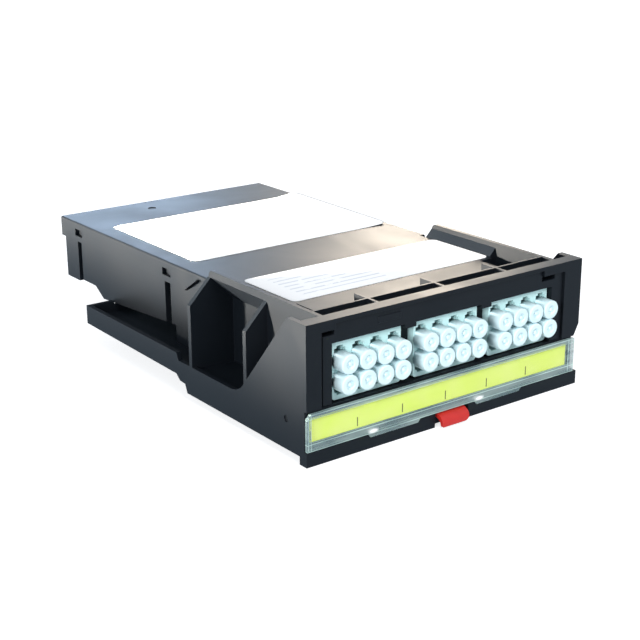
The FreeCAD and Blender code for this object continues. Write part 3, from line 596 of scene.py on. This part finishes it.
def plugSurface(shape, low, high, faceY):
    # a closed shell turned about the plug's axis: a face with a ring groove and a rounded rim, the barrel
    # back to the block, and a stem whose section passes from round to square
    centre = (np.array(low) + np.array(high)) / 2
    radius = (high[0] - low[0]) / 2
    bend = shape["rimRound"]
    rise = np.linspace(0, np.pi / 2, shape["rimPoints"])
    faceR = np.concatenate([[shape["axisReach"]],
                            np.linspace(shape["middleReach"], shape["grooveOutside"], shape["middlePoints"]),
                            np.linspace(shape["outerReach"], radius - bend, shape["outerPoints"])])
    inner = smoothStep((faceR - shape["grooveInside"]) / shape["grooveSlope"])
    outer = smoothStep((shape["grooveOutside"] - faceR) / shape["grooveSlope"])
    stem = shape["stemHalf"]
    rimR = radius - bend + bend * np.sin(rise)
    stations = [(faceR, low[1] + shape["grooveDepth"] * inner * outer, np.zeros_like(faceR)),
                (rimR, low[1] + bend - bend * np.cos(rise), np.zeros_like(rise)),
                ([radius, radius], [low[1] + 2 * bend, faceY], [0, 0]),
                ([stem, stem, shape["axisReach"]], [faceY, high[1], high[1]], [1, 1, 1])]
    reach, along, square = (np.concatenate(part)[:, None] for part in zip(*stations))
    turn = np.linspace(0, 2 * np.pi, shape["columns"], endpoint=False)[None, :]
    corner = 1 - square + square / np.maximum(np.abs(np.cos(turn)), np.abs(np.sin(turn)))
    return np.stack([centre[0] + reach * corner * np.cos(turn), along + 0 * turn,
                     centre[2] + reach * corner * np.sin(turn)], axis=-1)


def makePlug(node, shape, faceY):
    low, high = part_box(node)
    points = plugSurface(shape, low, high, faceY)
    rows, columns = points.shape[:2]
    mesh = bpy.data.meshes.new(node + "_finished")
    mesh.from_pydata(points.reshape(-1, 3), [], gridFaces(rows, columns, True))
    mesh.shade_smooth()
    shell = openShell(mesh)
    bmesh.ops.remove_doubles(shell, verts=shell.verts, dist=shape["mergeDistance"])
    bmesh.ops.recalc_face_normals(shell, faces=shell.faces)
    closeShell(shell, mesh)
    finishPiece(mesh, node + "_finished", finishes["plugWhite"], "housing", "plug_white", node)


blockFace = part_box("adapter_middle")[0][1]
for node in plugNames:
    makePlug(node, plugShape, blockFace)
print("dust plugs turned")

stripShape = {
    "clearOfCover": 0.00006,
}


def makeStrip(shape):
    # the paper strip as one whole sheet, as wide and tall as its box and just clear of the cover's back
    low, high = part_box("label_strip")
    front = low[1] + shape["clearOfCover"]
    mesh = boxMesh("label_strip_finished", [((low[0], front, low[2]), high)])
    finishPiece(mesh, "label_strip_finished", finishes["stripPaper"], "cover_body", "strip_yellow",
                "label_strip")


makeStrip(stripShape)

rearLabel = {
    "liftFrom": 0.030,
    "liftFront": 0.0005,  # rise of the right end at its front corner
    "liftRear": 0.0011,  # and at its rear corner
    "cornerRadius": 0.0022,
    "clearOfLid": 0.00003,
    "thickness": 0.00012,
    "columns": 60,
    "rows": 40,
}


def makeRearLabel(shape):
    # a flat sheet with rounded corners whose right end rises with the square of the distance past liftFrom,
    # more at the rear than at the front
    low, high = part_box("lid_label_rear")
    u = np.linspace(0, 1, shape["columns"])[None, :]
    v = np.linspace(0, 1, shape["rows"])[:, None]
    y = low[1] + (high[1] - low[1]) * v + 0 * u
    edge = np.clip(shape["cornerRadius"] - np.minimum(y - low[1], high[1] - y), 0, None)
    inset = shape["cornerRadius"] - np.sqrt(shape["cornerRadius"] ** 2 - edge ** 2)
    x = (low[0] + inset) + (high[0] - low[0] - 2 * inset) * u
    past = np.clip((x - shape["liftFrom"]) / (high[0] - shape["liftFrom"]), 0, 1)
    lift = shape["liftFront"] + (shape["liftRear"] - shape["liftFront"]) * v
    z = low[2] + shape["clearOfLid"] + lift * past ** 2
    mesh = bpy.data.meshes.new("lid_label_rear_finished")
    mesh.from_pydata(np.stack([x, y, z], axis=-1).reshape(-1, 3), [],
                     gridFaces(shape["rows"], shape["columns"], False))
    mesh.shade_smooth()
    piece = finishPiece(mesh, "lid_label_rear_finished", finishes["labelPlain"], "lid_body", "label_white",
                        "lid_label_rear")
    wall = piece.modifiers.new("paperWall", "SOLIDIFY")
    wall.thickness = shape["thickness"]
    wall.offset = 1.0  # the sheet thickens upwards only


makeRearLabel(rearLabel)


def makeSpring():
    # the folded strip again, as a piece with its own mesh
    mesh = frame["nodes"]["latch_spring"].data.copy()
    piece = finishPiece(mesh, "latch_spring_finished", finishes["springSteel"], "housing", "spring_steel",
                        "latch_spring")
    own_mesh(piece)


makeSpring()
print("labels and spring laid")

worldLook = {
    "colour": (0.90, 0.95, 1.0),
    "level": 0.44,
    "glossColour": (0.52, 0.68, 0.84),
    "seenLevel": 1.0,  # where the camera or a shiny face looks straight at it
}


def lightWorld(look):
    # even light from all round; the camera sees it as plain white, and shiny faces see it in glossColour
    world = bpy.data.worlds.new("studio")
    world.use_nodes = True
    tree = world.node_tree
    tree.nodes.clear()
    output = addNode(tree, "ShaderNodeOutputWorld")
    mix = addNode(tree, "ShaderNodeMixShader")
    soft = addNode(tree, "ShaderNodeBackground")
    seen = addNode(tree, "ShaderNodeBackground")
    rays = addNode(tree, "ShaderNodeLightPath").outputs
    tint = mixColour(tree, rays["Is Glossy Ray"], (1, 1, 1, 1), look["glossColour"] + (1,))
    direct = largest(tree, [rays["Is Camera Ray"], rays["Is Transmission Ray"], rays["Is Glossy Ray"]])
    fill(tree, soft.inputs["Color"], look["colour"] + (1,))
    fill(tree, soft.inputs["Strength"], look["level"])
    fill(tree, seen.inputs["Color"], tint)
    fill(tree, seen.inputs["Strength"], look["seenLevel"])
    for socket, source in zip(mix.inputs, (direct, soft.outputs["Background"], seen.outputs["Background"])):
        fill(tree, socket, source)
    fill(tree, output.inputs["Surface"], mix.outputs["Shader"])
    scene.world = world


lightWorld(worldLook)

# width and height are the lamp's own; a spread of 180 is soft all round, and 6 is a narrow beam
lamps = {
    "warmBack": {"azimuth": 41.5, "elevation": 17.0, "distance": 3.0, "width": 0.32, "height": 0.75,
                 "power": 17.5, "colour": (1.0, 0.86, 0.70), "spread": 180.0, "aimHeight": 0.0},
    "coolBack": {"azimuth": 20.0, "elevation": 14.0, "distance": 3.0, "width": 1.2, "height": 0.55,
                 "power": 18.5, "colour": (0.58, 0.75, 1.0), "spread": 180.0, "aimHeight": 0.0},
    "leftBeam": {"azimuth": -66.0, "elevation": 3.0, "distance": 0.55, "width": 0.5, "height": 0.02,
                 "power": 0.6, "colour": (1.0, 0.90, 0.76), "spread": 6.0, "aimHeight": 0.018},
    "leftFill": {"azimuth": -115.0, "elevation": 18.0, "distance": 3.0, "width": 1.2, "height": 1.2,
                 "power": 64.0, "colour": (0.93, 0.98, 1.0), "spread": 180.0, "aimHeight": 0.0},
    "frontKey": {"azimuth": 185.0, "elevation": 42.0, "distance": 3.0, "width": 1.6, "height": 1.6,
                 "power": 47.0, "colour": (1.0, 1.0, 1.0), "spread": 180.0, "aimHeight": 0.0},
}


def hangLamp(name, values, middle):
    # area lamp aimed at a point aimHeight above the middle; azimuth is counted from +Y towards +X
    az, el = radians(values["azimuth"]), radians(values["elevation"])
    aim = middle + Vector((0, 0, values["aimHeight"]))
    place = aim + values["distance"] * Vector((sin(az) * cos(el), cos(az) * cos(el), sin(el)))
    lamp = bpy.data.lights.new(name, "AREA")
    lamp.shape = "RECTANGLE"
    lamp.size = values["width"]
    lamp.size_y = values["height"]
    lamp.energy = values["power"]
    lamp.color = values["colour"]
    lamp.spread = radians(values["spread"])
    obj = bpy.data.objects.new(name, lamp)
    obj.location = place
    obj.rotation_euler = (aim - place).to_track_quat("-Z", "Y").to_euler()
    scene.collection.objects.link(obj)


boxMiddle = (Vector(cadBox[0]) + Vector(cadBox[1])) / 2
for name, values in lamps.items():
    hangLamp(name, values, boxMiddle)

floorLook = {
    "reach": 3.0,
    "drop": 0.0002,  # gap under the object
    "colour": (0.55, 0.56, 0.58),
    "roughness": 0.9,
    "gloss": 0.0,
    "glow": 0.74,  # to the camera
    "mirror": 0.45,  # in shiny faces
    "mirrorColour": (0.42, 0.72, 1.0),
}


def layFloor(look):
    # a wide sheet just under the object: it glows white to the camera, and dimmer and tinted to shiny faces
    height = cadBox[0][2] - look["drop"]
    reach = look["reach"]
    corners = [(-reach, -reach, height), (reach, -reach, height),
               (reach, reach, height), (-reach, reach, height)]
    mesh = bpy.data.meshes.new("floor")
    mesh.from_pydata(corners, [], [(0, 1, 2, 3)])
    floor = bpy.data.objects.new("floor", mesh)
    scene.collection.objects.link(floor)
    material, tree, shader = startMaterial("floorPaper", {
        "Base Color": look["colour"] + (1,), "Roughness": look["roughness"],
        "Specular IOR Level": look["gloss"]})
    rays = addNode(tree, "ShaderNodeLightPath").outputs
    seen = mathNode(tree, "MAXIMUM", rays["Is Camera Ray"], rays["Is Transmission Ray"])
    glow = mathNode(tree, "MULTIPLY", seen, look["glow"])
    mirrored = mathNode(tree, "MULTIPLY", rays["Is Glossy Ray"], look["mirror"])
    tint = mixColour(tree, rays["Is Glossy Ray"], (1, 1, 1, 1), look["mirrorColour"] + (1,))
    fill(tree, shader.inputs["Emission Color"], tint)
    fill(tree, shader.inputs["Emission Strength"], mathNode(tree, "MAXIMUM", glow, mirrored))
    mesh.materials.append(material)


layFloor(floorLook)
print("studio ready")
